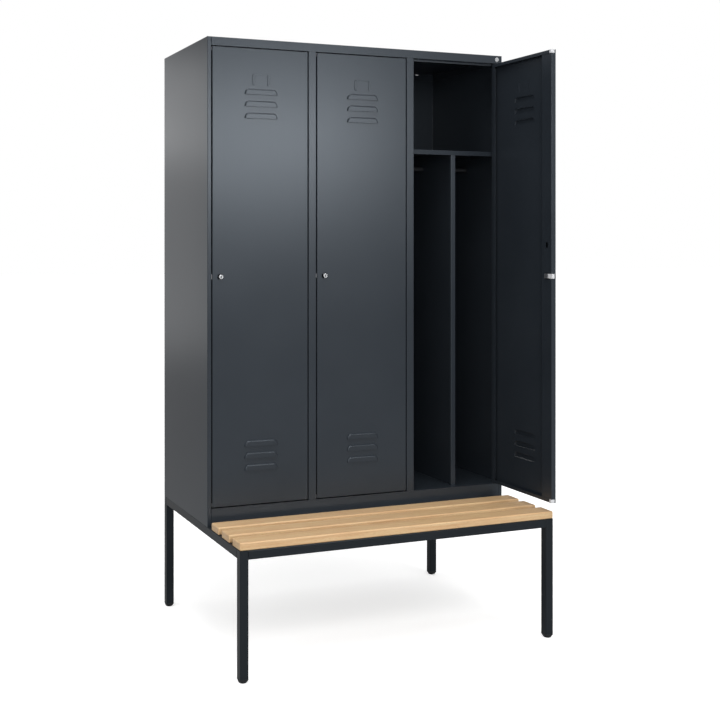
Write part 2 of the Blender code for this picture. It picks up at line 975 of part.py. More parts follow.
def make_door(number, assembly):
    """One door on its hinge, with everything that swings with it."""
    turn = open_angle if number == open_door else 0.0
    hinge = new_empty(
        f"door_{number}_hinge", assembly, (pivot_x(number), pivot_depth, 0), turn
    )
    spindle = new_empty(
        f"lock_{number}_spindle", hinge, (door_free_edge + lock_inset, door_front, lock_level)
    )
    make_door_panel(number, hinge)
    make_stiffener(number, hinge)
    make_lock_housing(number, hinge)
    make_lock_plug(number, spindle)
    make_latch_bolt(number, hinge)
    make_buffer(f"buffer_top_{number}", False, hinge)
    make_buffer(f"buffer_bottom_{number}", True, hinge)
    make_hinge_pin(f"hinge_pin_top_{number}", door_top, 1, hinge)
    make_hinge_pin(f"hinge_pin_bottom_{number}", door_bottom, -1, hinge)


def make_frame(parent):
    """Welded square tube frame: four legs, the rails between them and a rail under the cabinet front."""
    low = frame_height - tube
    left, right = 0, cabinet_width - tube
    front, back = -bench_depth, cabinet_depth - tube
    legs = {
        "leg_front_left": (left, front),
        "leg_front_right": (right, front),
        "leg_back_left": (left, back),
        "leg_back_right": (right, back),
    }
    for name, (x, y) in legs.items():
        mesh = square_tube("Z", (x, y, leg_bottom + fit_gap), (x + tube, y + tube, frame_height))
        add_piece(name, mesh, parent, "frame_coat")
        make_foot(name.replace("leg", "foot"), x, y, parent)
    inner_left, inner_right = left + tube + fit_gap, right - fit_gap
    for name, y in (("rail_front", front), ("rail_middle", 0), ("rail_rear", back)):
        mesh = square_tube("X", (inner_left, y, low), (inner_right, y + tube, frame_height))
        add_piece(name, mesh, parent, "frame_coat")
    for name, x in (("rail_side_left", left), ("rail_side_right", right)):
        mesh = square_tube(
            "Y",
            (x, front + tube + fit_gap, low),
            (x + tube, back - fit_gap, frame_height),
        )
        add_piece(name, mesh, parent, "frame_coat")


def make_foot(name, x, y, parent):
    """Plastic cap under a leg, with a stub that plugs into the tube."""
    low, high = (x, y), (x + tube, y + tube)
    plug = tube_wall + fit_gap
    rows = []
    for step in range(foot_round_steps):
        # a nearly round underside that swells to the square of the tube
        lean = math.pi / 2 * step / foot_round_steps
        inset = foot_round * (1 - math.sin(lean))
        widest = foot_circle_share * (tube / 2 - inset)
        radius = tube_corner + (widest - tube_corner) * math.sqrt(math.cos(lean))
        rows.append((inset, radius, foot_round_height * (1 - math.cos(lean))))
    rows += [
        (0, tube_corner, foot_round_height),
        (0, tube_corner, foot_height),
        (plug, tube_corner - tube_wall, foot_height),
        (plug, tube_corner - tube_wall, foot_height + foot_stub),
    ]
    loops = []
    for inset, radius, level in rows:
        loops.append([(a, b, level) for a, b in rounded_square(low, high, inset, radius)])
    return add_piece(name, ring_body(loops), parent, "black_plastic")


def make_slats(parent):
    """Beech slats from the front of the bench to just before the cabinet."""
    run = bench_depth - slat_clear - slat_width
    for number in range(1, slat_count + 1):
        rear = -slat_clear - run * (number - 1) / (slat_count - 1)
        mesh = box(
            (0, rear - slat_width, frame_height + fit_gap),
            (cabinet_width, rear, frame_height + fit_gap + slat_thickness),
        )
        mesh = soften(mesh, slat_round, slat_round_steps)
        add_piece(f"bench_slat_{number}", mesh, parent, "beech")


def main():
    for old in list(bpy.data.objects):
        bpy.data.objects.remove(old)
    assembly = new_empty("locker_with_bench", None, (-origin_x, -origin_y, 0))
    make_side_panel("side_panel_left", False, assembly)
    make_side_panel("side_panel_right", True, assembly)
    make_top_panel(assembly)
    make_rail_cap(assembly)
    make_floor_panel(assembly)
    make_back_panel(assembly)
    for number in range(1, compartment_count):
        make_partition(number, assembly)
    for number in range(1, compartment_count + 1):
        make_hat_shelf(number, assembly)
        make_divider(number, assembly)
        make_coat_rail(number, assembly)
        make_door(number, assembly)
    make_frame(assembly)
    make_slats(assembly)
    bpy.context.view_layer.update()


main()
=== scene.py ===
import json
import math

import bmesh
import bpy
from mathutils import Matrix, Vector

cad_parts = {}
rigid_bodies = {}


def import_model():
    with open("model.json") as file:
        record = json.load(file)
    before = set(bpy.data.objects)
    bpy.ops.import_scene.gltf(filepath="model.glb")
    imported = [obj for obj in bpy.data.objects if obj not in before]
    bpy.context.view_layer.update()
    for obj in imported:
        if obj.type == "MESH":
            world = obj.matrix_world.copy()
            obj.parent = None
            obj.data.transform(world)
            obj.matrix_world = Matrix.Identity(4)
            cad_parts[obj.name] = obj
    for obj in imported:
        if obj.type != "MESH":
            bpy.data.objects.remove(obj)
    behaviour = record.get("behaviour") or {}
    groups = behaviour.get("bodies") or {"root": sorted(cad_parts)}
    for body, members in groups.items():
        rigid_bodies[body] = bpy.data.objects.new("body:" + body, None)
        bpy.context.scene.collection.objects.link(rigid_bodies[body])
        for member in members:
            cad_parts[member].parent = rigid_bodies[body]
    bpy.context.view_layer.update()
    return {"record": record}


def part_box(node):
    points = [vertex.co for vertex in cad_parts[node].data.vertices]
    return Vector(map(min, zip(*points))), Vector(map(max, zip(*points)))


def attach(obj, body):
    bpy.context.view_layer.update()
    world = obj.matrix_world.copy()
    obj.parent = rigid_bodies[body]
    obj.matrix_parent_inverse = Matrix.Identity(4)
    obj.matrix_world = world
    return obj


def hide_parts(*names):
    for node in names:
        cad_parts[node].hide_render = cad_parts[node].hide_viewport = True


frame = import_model()

# Sizes in metres, laid out from the cabinet's left front edge at floor level and then shifted to the middle
cabinet = dict(
    shift=(-0.6, -0.0727, 0.0), pitch=0.400, base=0.4253, height=1.700, topRail=0.0295, bottomRail=0.0625,
)
doorNumbers = (1, 2, 3)
openDoor = 3
slatNumbers = (1, 2, 3)
railUnderside = cabinet["base"] + cabinet["height"] - cabinet["topRail"]
floorLevel = cabinet["base"] + cabinet["bottomRail"]
tiny = 1e-5  # closer than this is the same place


# Shared helpers

def deselectAll():
    if bpy.context.object and bpy.context.object.mode != "OBJECT":
        bpy.ops.object.mode_set(mode="OBJECT")
    bpy.ops.object.select_all(action="DESELECT")


def activate(piece):
    deselectAll()
    piece.select_set(True)
    bpy.context.view_layer.objects.active = piece


def settle(piece):
    # place, turn and scale go into the mesh
    activate(piece)
    bpy.ops.object.transform_apply(location=True, rotation=True, scale=True)
    return piece


def addBlock(name, low, high):
    deselectAll()
    centre = [(a + b) / 2 for a, b in zip(low, high)]
    size = [b - a for a, b in zip(low, high)]
    bpy.ops.mesh.primitive_cube_add(size=1, location=centre, scale=size)
    piece = bpy.context.object
    piece.name = name
    return settle(piece)


def addRound(name, centre, radius, depth, axis="Z", sides=48):
    deselectAll()
    turns = {"X": (0, math.pi / 2, 0), "Y": (math.pi / 2, 0, 0), "Z": (0, 0, 0)}
    bpy.ops.mesh.primitive_cylinder_add(
        vertices=sides, radius=radius, depth=depth, location=centre, rotation=turns[axis]
    )
    piece = bpy.context.object
    piece.name = name
    return settle(piece)


def modify(piece, kind, **settings):
    # one modifier, applied at once
    modifier = piece.modifiers.new(kind, kind)
    for key, value in settings.items():
        setattr(modifier, key, value)
    activate(piece)
    bpy.ops.object.modifier_apply(modifier=modifier.name)
    return piece


def softenEdges(piece, width, segments=3, angle=30):
    return modify(
        piece, "BEVEL", width=width, segments=segments, limit_method="ANGLE",
        angle_limit=math.radians(angle), harden_normals=False,
    )


def carve(piece, tool, operation="DIFFERENCE"):
    modify(piece, "BOOLEAN", object=tool, operation=operation, solver="EXACT")
    bpy.data.objects.remove(tool)
    return piece


def leaveEdit():
    bpy.ops.object.mode_set(mode="OBJECT")


def startEdit(piece, kind):
    # edit mode with nothing selected
    activate(piece)
    bpy.ops.object.mode_set(mode="EDIT")
    bpy.ops.mesh.select_mode(type=kind)
    bpy.ops.mesh.select_all(action="DESELECT")
    return bmesh.from_edit_mesh(piece.data)


def editFaces(piece, chosen):
    # edit mode with the faces that pass the test selected
    mesh = startEdit(piece, "FACE")
    for face in mesh.faces:
        face.select_set(chosen(face))
    bmesh.update_edit_mesh(piece.data)


def editEdges(piece, chosen):
    mesh = startEdit(piece, "EDGE")
    for edge in mesh.edges:
        edge.select_set(chosen(edge))
    bmesh.update_edit_mesh(piece.data)


def moveVerts(piece, chosen, offset):
    mesh = startEdit(piece, "VERT")
    for vert in mesh.verts:
        vert.select_set(chosen(vert.co))
    mesh.select_flush_mode()
    bmesh.update_edit_mesh(piece.data)
    bpy.ops.transform.translate(value=offset)
    leaveEdit()


def pointsTo(face, direction):
    return face.normal.dot(Vector(direction)) > 0.99


def extrudeFaces(piece, chosen, offset):
    editFaces(piece, chosen)
    bpy.ops.mesh.extrude_region_move(TRANSFORM_OT_translate={"value": offset})
    leaveEdit()


def bisectAll(piece, point, normal, **options):
    activate(piece)
    bpy.ops.object.mode_set(mode="EDIT")
    bpy.ops.mesh.select_all(action="SELECT")
    bpy.ops.mesh.bisect(plane_co=point, plane_no=normal, **options)
    leaveEdit()


def cutAway(piece, point, normal):
    # keeps the part that the normal points to, and closes the cut
    bisectAll(piece, point, normal, use_fill=True, clear_inner=True)


def repairNormals(piece):
    activate(piece)
    bpy.ops.object.mode_set(mode="EDIT")
    bpy.ops.mesh.select_all(action="SELECT")
    bpy.ops.mesh.normals_make_consistent(inside=False)
    leaveEdit()


def smoothByAngle(piece, angle=30):
    # the large faces keep their own normals, so that only the rounded edges shade softly
    activate(piece)
    bpy.ops.object.shade_smooth_by_angle(angle=math.radians(angle))
    return modify(piece, "WEIGHTED_NORMAL", mode="FACE_AREA", weight=80, keep_sharp=True)


def copyOf(piece, name):
    twin = piece.copy()
    twin.data = piece.data.copy()
    twin.name = name
    bpy.context.scene.collection.objects.link(twin)
    return twin


def placed(piece, matrix):
    # moves the mesh itself, so that the object stays at the origin
    piece.data.transform(matrix)
    return piece


def dress(piece, material, slot, body, *replaced):
    piece.data.materials.clear()
    piece.data.materials.append(material)
    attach(piece, body)
    if replaced:
        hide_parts(*replaced)
    return piece


# Materials

def hexColour(code):
    # sRGB hex to linear
    parts = [int(code[index:index + 2], 16) / 255 for index in (1, 3, 5)]
    linear = [p / 12.92 if p <= 0.04045 else ((p + 0.055) / 1.055) ** 2.4 for p in parts]
    return (*linear, 1.0)


def addNode(material, kind, settings=None, values=None, links=None):
    tree = material.node_tree
    node = tree.nodes.new(kind)
    for key, value in (settings or {}).items():
        setattr(node, key, value)
    for key, value in (values or {}).items():
        node.inputs[key].default_value = value
    for key, source in (links or {}).items():
        tree.links.new(source, node.inputs[key])
    return node


def newMaterial(name, shaderValues):
    material = bpy.data.materials.new(name)
    material.use_nodes = True
    shader = material.node_tree.nodes["Principled BSDF"]
    for key, value in shaderValues.items():
        shader.inputs[key].default_value = value
    return material, shader


def fillRamp(ramp, stops):
    # stops are (position, hex colour)
    while len(ramp.color_ramp.elements) < len(stops):
        ramp.color_ramp.elements.new(0.5)
    for element, (position, code) in zip(ramp.color_ramp.elements, stops):
        element.position = position
        element.color = hexColour(code)


powderCoatLook = dict(
    light="#292e34", dark="#252a30", roughness=0.295, roughnessSpread=0.015, tint="#e6f0fa", specular=0.5,
    grainMillimetres=2.4, driftMillimetres=260, bump=0.035, bumpDepth=0.0002,
)


def powderCoat(name, look):
    # baked polyester powder on steel: an even dark colour, a satin sheen and faint orange peel.
    # The real peel is under 1 mm, and is drawn a little coarser to show at all.
    material, shader = newMaterial(name, {
        "IOR": 1.5, "Metallic": 0.0, "Specular Tint": hexColour(look["tint"]),
        "Specular IOR Level": look["specular"],
    })
    links = material.node_tree.links
    place = addNode(material, "ShaderNodeTexCoord").outputs["Object"]
    drift = addNode(
        material, "ShaderNodeTexNoise",
        values={"Scale": 1000 / look["driftMillimetres"], "Detail": 2.0}, links={"Vector": place},
    )
    tint = addNode(material, "ShaderNodeValToRGB", links={"Fac": drift.outputs["Fac"]})
    fillRamp(tint, [(0.3, look["dark"]), (0.7, look["light"])])
    peel = addNode(
        material, "ShaderNodeTexNoise",
        values={"Scale": 1000 / look["grainMillimetres"], "Detail": 3.0, "Roughness": 0.55},
        links={"Vector": place},
    )
    sheen = addNode(
        material, "ShaderNodeMapRange",
        values={
            "To Min": look["roughness"] - look["roughnessSpread"],
            "To Max": look["roughness"] + look["roughnessSpread"],
        },
        links={"Value": drift.outputs["Fac"]},
    )
    bump = addNode(
        material, "ShaderNodeBump",
        values={"Strength": look["bump"], "Distance": look["bumpDepth"]},
        links={"Height": peel.outputs["Fac"]},
    )
    links.new(tint.outputs["Color"], shader.inputs["Base Color"])
    links.new(sheen.outputs["Result"], shader.inputs["Roughness"])
    links.new(bump.outputs["Normal"], shader.inputs["Normal"])
    return material


beechLook = dict(
    pale="#d8bb8e", warm="#d1ad81", deep="#c69d70", fleck="#ae8459",
    ringMillimetres=9.0, stretch=22.0, fleckMillimetres=1.4, fleckStretch=9.0,
    fleckFrom=0.60, fleckTo=0.72, fleckShare=0.45,
    roughness=0.42, coat=0.25, coatRoughness=0.25, bump=0.06, bumpDepth=0.0003,
)


def lacqueredBeech(name, look, offset):
    # steamed beech under clear lacquer: warm straight grain along X with short dark flecks
    material, shader = newMaterial(name, {
        "IOR": 1.5, "Roughness": look["roughness"],
        "Coat Weight": look["coat"], "Coat Roughness": look["coatRoughness"],
    })
    links = material.node_tree.links
    place = addNode(material, "ShaderNodeTexCoord").outputs["Object"]
    along = addNode(
        material, "ShaderNodeMapping",
        values={"Location": offset, "Scale": (1 / look["stretch"], 1, 1)}, links={"Vector": place},
    )
    rings = addNode(
        material, "ShaderNodeTexNoise",
        values={"Scale": 1000 / look["ringMillimetres"], "Detail": 4.0, "Roughness": 0.6,
                "Distortion": 0.35},
        links={"Vector": along.outputs["Vector"]},
    )
    tone = addNode(material, "ShaderNodeValToRGB", links={"Fac": rings.outputs["Fac"]})
    fillRamp(tone, [(0.28, look["deep"]), (0.5, look["warm"]), (0.72, look["pale"])])
    fine = addNode(
        material, "ShaderNodeMapping",
        values={"Location": offset, "Scale": (1 / look["fleckStretch"], 1, 1)},
        links={"Vector": place},
    )
    flecks = addNode(
        material, "ShaderNodeTexNoise",
        values={"Scale": 1000 / look["fleckMillimetres"], "Detail": 1.0},
        links={"Vector": fine.outputs["Vector"]},
    )
    fleckMask = addNode(
        material, "ShaderNodeMapRange",
        values={
            "From Min": look["fleckFrom"], "From Max": look["fleckTo"],
            "To Min": 0.0, "To Max": look["fleckShare"],
        },
        links={"Value": flecks.outputs["Fac"]},
    )
    mixed = addNode(
        material, "ShaderNodeMixRGB", values={"Color2": hexColour(look["fleck"])},
        links={"Fac": fleckMask.outputs["Result"], "Color1": tone.outputs["Color"]},
    )
    bump = addNode(
        material, "ShaderNodeBump",
        values={"Strength": look["bump"], "Distance": look["bumpDepth"]},
        links={"Height": flecks.outputs["Fac"]},
    )
    links.new(mixed.outputs["Color"], shader.inputs["Base Color"])
    links.new(bump.outputs["Normal"], shader.inputs["Normal"])
    return material


def plainMetal(name, code, roughness, grainMillimetres, spread, metallic=1.0):
    # plated, cast or blackened metal: its sheen varies a little over the surface. A dull skin is a
    # little less metallic.
    material, shader = newMaterial(name, {"Base Color": hexColour(code), "Metallic": metallic})
    place = addNode(material, "ShaderNodeTexCoord").outputs["Object"]
    grain = addNode(
        material, "ShaderNodeTexNoise", values={"Scale": 1000 / grainMillimetres, "Detail": 2.0},
        links={"Vector": place},
    )
    sheen = addNode(
        material, "ShaderNodeMapRange",
        values={"To Min": roughness - spread, "To Max": roughness + spread},
        links={"Value": grain.outputs["Fac"]},
    )
    material.node_tree.links.new(sheen.outputs["Result"], shader.inputs["Roughness"])
    return material


def mouldedPlastic(name, code, roughness, grainMillimetres, specular=0.5):
    # injection moulded part: even colour with a fine eroded skin that breaks up its shine
    material, shader = newMaterial(name, {
        "Base Color": hexColour(code), "Roughness": roughness, "IOR": 1.46, "Specular IOR Level": specular,
    })
    place = addNode(material, "ShaderNodeTexCoord").outputs["Object"]
    skin = addNode(
        material, "ShaderNodeTexNoise", values={"Scale": 1000 / grainMillimetres, "Detail": 2.0},
        links={"Vector": place},
    )
    bump = addNode(
        material, "ShaderNodeBump", values={"Strength": 0.08, "Distance": 0.0002},
        links={"Height": skin.outputs["Fac"]},
    )
    material.node_tree.links.new(bump.outputs["Normal"], shader.inputs["Normal"])
    return material


print("materials")
anthraciteCoat = powderCoat("polyester_powder_coat_anthracite", powderCoatLook)
# painted shade: the tubes and the inside catch less of the studio, so the tubes get a darker, duller copy
# of the same coat and the inside fittings a duller one
frameCoatShaded = powderCoat(
    "polyester_powder_coat_frame_painted_shade",
    dict(powderCoatLook, light="#1f2327", dark="#1c2024", specular=0.22),
)
shelfCoatShaded = powderCoat("polyester_powder_coat_inside_painted_shade", dict(powderCoatLook, specular=0.2))
beechSlats = [
    lacqueredBeech(f"lacquered_beech_{number}", beechLook, (number * 3.17, number * 1.3, number * 0.7))
    for number in slatNumbers
]
zincPlate = plainMetal("zinc_plated_steel", "#b4b6b8", 0.46, 4.0, 0.06, 0.7)  # pale with a soft shine
# painted shade: the coat rails are zinc darkened to a dull grey, standing in for the dim inside of the
# compartments
railSteelShaded = plainMetal("zinc_tube_painted_shade", "#4c4e52", 0.50, 6.0, 0.06, 0.8)  # dull grey
pinSteel = plainMetal("black_oxide_steel", "#26272a", 0.55, 4.0, 0.05, 0.8)  # nearly black
castZinc = plainMetal("die_cast_zinc", "#7c7e82", 0.50, 4.0, 0.05, 0.8)  # mid grey, no clear reflection
chromePlate = plainMetal("chrome_plated_zinc", "#c4c6c9", 0.26, 8.0, 0.03)  # bright and smooth
whiteNylon = mouldedPlastic("polyamide_white", "#d2d3d6", 0.5, 1.5)
blackPolymer = mouldedPlastic("polyethylene_black", "#15171a", 0.5, 1.5)
# painted shade: near black with hardly any shine, for the shade at the side of the lock head, its shadow on
# the door and the dark inside of the keyhole
shadeBlack = mouldedPlastic("painted_shade_black", "#08090a", 0.9, 1.5, 0.05)  # hardly any shine

slotMaterials = {
    "coat": anthraciteCoat, "frame_coat": frameCoatShaded, "beech": beechSlats[0],
    "white_plastic": whiteNylon, "black_plastic": blackPolymer,
    "chrome": chromePlate, "zinc": zincPlate,
}
nodeMaterials = {"hinge_pin": pinSteel, "hat_shelf": shelfCoatShaded}  # by the start of the node's name
for row in frame["record"]["subparts"]:
    finish = slotMaterials[row["material_slot"]]
    for start, material in nodeMaterials.items():
        if row["node"].startswith(start):
            finish = material
    for materialSlot in bpy.data.objects[row["node"]].material_slots:
        materialSlot.link = "OBJECT"
        materialSlot.material = finish


# Doors: one is modelled about its hinge axis, with the front facing -Y, and copied

door = dict(
    left=-0.3565, right=0.0065, front=-0.0045, back=0.0135, sheet=0.001, lip=0.012, hingeLip=0.020,
    foldRadius=0.0016, hingeInset=0.025, pivotDepth=0.0045, gap=0.0035, wideFace=0.1,
    hollowBack=0.0001, windowDepth=0.004, overcut=0.002, pinHole=0.0028, pinHoleSides=24,
)
door["bottom"] = floorLevel + door["gap"]
door["top"] = railUnderside - door["gap"]
bufferNotch = dict(width=0.0103, height=0.0133, front=0.0047)
louvre = dict(
    width=0.125, height=0.020, pitch=0.042, rise=0.0055, corner=0.016, offset=0.0005, edge=0.0050,
    topDrop=0.1415, bottomRise=0.1205, count=3, windowRise=0.0014, mouthDrop=0.0003, sides=64,
)
louvre["middle"] = (door["left"] + door["right"]) / 2 + louvre["offset"]
lock = dict(
    inset=0.0293, height=0.8003, hole=0.0065, holeDepth=0.006, halfWidth=0.0095, halfHeight=0.00825,
    caseGap=0.0013, caseSoft=0.0015, proud=0.0035, screw=0.0017, screwInset=0.0060, screwProud=0.0006,
    latchFront=0.0067, latchPlay=0.0003, latchLength=0.020,
)
lock["x"] = door["left"] + lock["inset"]
lock["z"] = door["bottom"] + lock["height"]


def doorPlace(number):
    turn = math.radians(90) if number == openDoor else 0.0
    hinge = Vector((number * cabinet["pitch"] - door["hingeInset"], door["pivotDepth"], 0))
    return Matrix.Translation(hinge + Vector(cabinet["shift"])) @ Matrix.Rotation(turn, 4, "Z")


def roundFront(piece, front, width):
    # rounds the outline of the front face
    def onOutline(edge):
        level = all(abs(vert.co.y - front) < tiny for vert in edge.verts)
        return level and len(edge.link_faces) == 2 and edge.calc_face_angle() > math.radians(30)

    editEdges(piece, onOutline)
    bpy.ops.mesh.bevel(offset=width, segments=5, affect="EDGES")
    leaveEdit()


def addHood(name, wall):
    # a flat disc drawn out sideways into a long form with round ends, its front edge rounded, and cut
    # level below; with a wall it is the hollow
    front = wall - louvre["rise"]
    back = door["hollowBack"] if wall else door["sheet"] / 2
    hood = addRound(name, (0, (front + back) / 2, 0), 1, back - front, "Y", louvre["sides"])
    placed(hood, Matrix.Diagonal((louvre["corner"] - wall, 1, louvre["height"] - wall, 1)))
    flat = louvre["width"] / 2 - louvre["corner"]
    moveVerts(hood, lambda co: co.x > tiny, (flat, 0, 0))
    moveVerts(hood, lambda co: co.x < -tiny, (-flat, 0, 0))
    roundFront(hood, front, louvre["edge"] - wall)
    cutAway(hood, (0, 0, 0), (0, 0, 1))
    return hood


def seatHood(hood, top):
    placed(hood, Matrix.Translation((louvre["middle"], door["front"], top - louvre["height"])))
    repairNormals(hood)
    return hood


def addHollow(top):
    # the space under a hood: open below, and through the sheet down to a little above that edge
    hollow = addHood("hollow", door["sheet"])
    window = louvre["windowRise"]
    bisectAll(hollow, (0, 0, window), (0, 0, 1))
    extrudeFaces(
        hollow,
        lambda face: pointsTo(face, (0, 0, -1)) and face.calc_center_median().z < tiny,
        (0, 0, -louvre["mouthDrop"]),
    )
    extrudeFaces(
        hollow,
        lambda face: pointsTo(face, (0, 1, 0)) and face.calc_center_median().z > window,
        (0, door["windowDepth"], 0),
    )
    return seatHood(hollow, top)


holder = dict(
    width=0.069, height=0.038, drop=0.0905, bracket=0.0110, bow=0.025, rise=0.0016, wall=0.0010,
    edge=0.0014, window=0.0014, mouthReach=0.0008, sides=96,
    line=0.0016, lineRise=0.0006, lineInset=0.001, lineSink=0.0003, lineSoft=0.0002,
)


def addBracket(side, wall):
    # one upright of the card holder, bowed outwards; with a wall it is the hollow, open towards the card
    front = wall - holder["rise"]
    back = door["hollowBack"] if wall else door["sheet"] / 2
    bracket = addRound("bracket", (0, (front + back) / 2, 0), 1, back - front, "Y", holder["sides"])
    placed(bracket, Matrix.Diagonal((holder["bracket"] - wall, 1, holder["bow"] - wall, 1)))
    half = holder["height"] / 2 - wall
    for point, normal in (((0, 0, 0), (1, 0, 0)), ((0, 0, -half), (0, 0, 1)), ((0, 0, half), (0, 0, -1))):
        cutAway(bracket, point, normal)
    roundFront(bracket, front, holder["edge"] - wall)
    if wall:
        # the window through the sheet starts behind the bracket, so that nothing shines straight through
        window = holder["window"]
        bisectAll(bracket, (window, 0, 0), (1, 0, 0))
        extrudeFaces(bracket, lambda face: pointsTo(face, (-1, 0, 0)), (-holder["mouthReach"], 0, 0))
        extrudeFaces(
            bracket,
            lambda face: pointsTo(face, (0, 1, 0)) and face.calc_center_median().x > window,
            (0, door["windowDepth"], 0),
        )
    placed(bracket, Matrix.Scale(side, 4, (1, 0, 0)))
    inner = louvre["middle"] + side * (holder["width"] / 2 - holder["bracket"])
    middle = door["top"] - holder["drop"] - holder["height"] / 2
    placed(bracket, Matrix.Translation((inner, door["front"], middle)))
    repairNormals(bracket)
    return bracket


def buildHolderLine():
    # the faint upper line of the card's place
    top = door["top"] - holder["drop"]
    half = holder["width"] / 2 - holder["lineInset"]
    line = addBlock(
        "holderLine",
        (louvre["middle"] - half, door["front"] - holder["lineRise"], top - holder["line"]),
        (louvre["middle"] + half, door["front"] + holder["lineSink"], top),
    )
    softenEdges(line, holder["lineSoft"], 2)
    return smoothByAngle(line, 35)


def buildDoor():
    over = door["overcut"]
    shell = addBlock(
        "door_shell", (door["left"], door["front"], door["bottom"]),
        (door["right"], door["back"], door["top"]),
    )
    # front edges are folded over a small radius
    softenEdges(shell, door["foldRadius"], 4)
    editFaces(shell, lambda face: pointsTo(face, (0, 1, 0)) and face.calc_area() > door["wideFace"])
    bpy.ops.mesh.inset(thickness=door["lip"] - door["foldRadius"], depth=0)
    bpy.ops.mesh.delete(type="FACE")
    leaveEdit()
    inner = door["right"] - door["lip"]
    moveVerts(
        shell, lambda co: abs(co.x - inner) < tiny and co.y > door["back"] - tiny,
        (door["lip"] - door["hingeLip"], 0, 0),
    )
    modify(shell, "SOLIDIFY", thickness=door["sheet"], offset=-1, use_even_offset=True)
    tops = [door["top"] - louvre["topDrop"] - n * louvre["pitch"] for n in range(louvre["count"])]
    lowest = door["bottom"] + louvre["bottomRise"] + louvre["height"]
    tops += [lowest + n * louvre["pitch"] for n in range(louvre["count"])]
    for top in tops:
        carve(shell, seatHood(addHood("hood", 0), top), "UNION")
    for top in tops:
        carve(shell, addHollow(top))
    for side in (-1, 1):
        carve(shell, addBracket(side, 0), "UNION")
    for side in (-1, 1):
        carve(shell, addBracket(side, holder["wall"]))
    carve(shell, addRound(
        "lockHole", (lock["x"], door["front"], lock["z"]), lock["hole"], lock["holeDepth"], "Y"
    ))
    # the bolt's opening in the folded edge
    slotHalf = lock["halfHeight"] + lock["latchPlay"]
    carve(shell, addBlock(
        "boltSlot", (door["left"] - over, door["front"] + lock["latchFront"], lock["z"] - slotHalf),
        (door["left"] + lock["latchLength"], door["back"] + over, lock["z"] + slotHalf),
    ))
    for low, high in (
        (door["bottom"] - over, door["bottom"] + bufferNotch["height"]),
        (door["top"] - bufferNotch["height"], door["top"] + over),
    ):
        carve(shell, addBlock(
            "bufferNotch", (door["left"] - over, door["front"] + bufferNotch["front"], low),
            (door["left"] + bufferNotch["width"], door["back"] + over, high),
        ))
        carve(shell, addRound(
            "pinHole", (0, 0, (low + high) / 2), door["pinHole"], high - low, "Z", door["pinHoleSides"]
        ))
    return smoothByAngle(shell, 28)


print("doors")
doorShell, holderLine = buildDoor(), buildHolderLine()
for number in doorNumbers:
    shell = placed(copyOf(doorShell, f"door_{number}_shell"), doorPlace(number))
    dress(shell, anthraciteCoat, "coat", f"door_{number}", f"door_panel_{number}")
    line = placed(copyOf(holderLine, f"door_{number}_card_line"), doorPlace(number))
    dress(line, anthraciteCoat, "coat", f"door_{number}")
for spare in (doorShell, holderLine):
    bpy.data.objects.remove(spare)


# Locks: a chromed head over its near-black barrel, a turning core with its keyway, a zinc case behind. The
# barrel's near-black colour and the black block in the keyway are painted shade

rosette = dict(
    seat=0.0002, play=0.0001, boreDepth=0.02, sides=64,
    surround=0.0095, surroundRise=0.0080, surroundSoft=0.0003,
    radius=0.0081, rise=0.0084, headSoft=0.0005,
    core=0.0058, coreRise=0.0003, coreDepth=0.0105, coreSoft=0.0004,
    keyWidth=0.0034, keyHeight=0.0082, keyDrop=0.0012, keyDepth=0.005, keyPlay=0.00005,
)
rosette["front"] = door["front"] - rosette["seat"] - rosette["rise"] - rosette["coreRise"]


def addTurned(name, front, back, radius):
    # a round piece on the lock's axis
    return addRound(
        name, (lock["x"], (front + back) / 2, lock["z"]), radius, back - front, "Y", rosette["sides"]
    )


def bore(piece, front, radius):
    half = rosette["boreDepth"] / 2
    return carve(piece, addTurned("bore", front - half, front + half, radius + rosette["play"]))


def buildSurround():
    front = door["front"] - rosette["surroundRise"]
    surround = addTurned("surround", front, door["front"] - rosette["seat"], rosette["surround"])
    bore(surround, front, rosette["radius"])
    softenEdges(surround, rosette["surroundSoft"], 2, 40)
    return smoothByAngle(surround, 35)


def buildHead():
    back = door["front"] - rosette["seat"]
    head = addTurned("head", back - rosette["rise"], back, rosette["radius"])
    bore(head, back, rosette["core"])
    softenEdges(head, rosette["headSoft"], 3, 40)
    return smoothByAngle(head, 35)


def keywayBlock(name, grow, reach):
    half, tall = rosette["keyWidth"] / 2 + grow, rosette["keyHeight"] / 2 + grow
    return addBlock(
        name, (lock["x"] - half, rosette["front"] + reach, lock["z"] - tall),
        (lock["x"] + half, rosette["front"] + rosette["keyDepth"], lock["z"] + tall),
    )


def buildCore():
    core = addTurned("core", rosette["front"], door["front"] + rosette["coreDepth"], rosette["core"])
    softenEdges(core, rosette["coreSoft"], 3, 40)
    carve(core, keywayBlock("keyway", 0, -door["overcut"]))
    return smoothByAngle(core, 35)


def buildCase():
    back = door["back"] + lock["proud"]
    case = addBlock(
        "case",
        (lock["x"] - lock["halfWidth"], door["front"] + lock["caseGap"], lock["z"] - lock["halfHeight"]),
        (lock["x"] + lock["halfWidth"], back, lock["z"] + lock["halfHeight"]),
    )
    softenEdges(case, lock["caseSoft"], 3)
    for side in (-1, 1):
        carve(case, addRound(
            "screw", (lock["x"] + side * lock["screwInset"], back, lock["z"]),
            lock["screw"], lock["screwProud"] * 2, "Y", 32,
        ), "UNION")
    return smoothByAngle(case, 35)


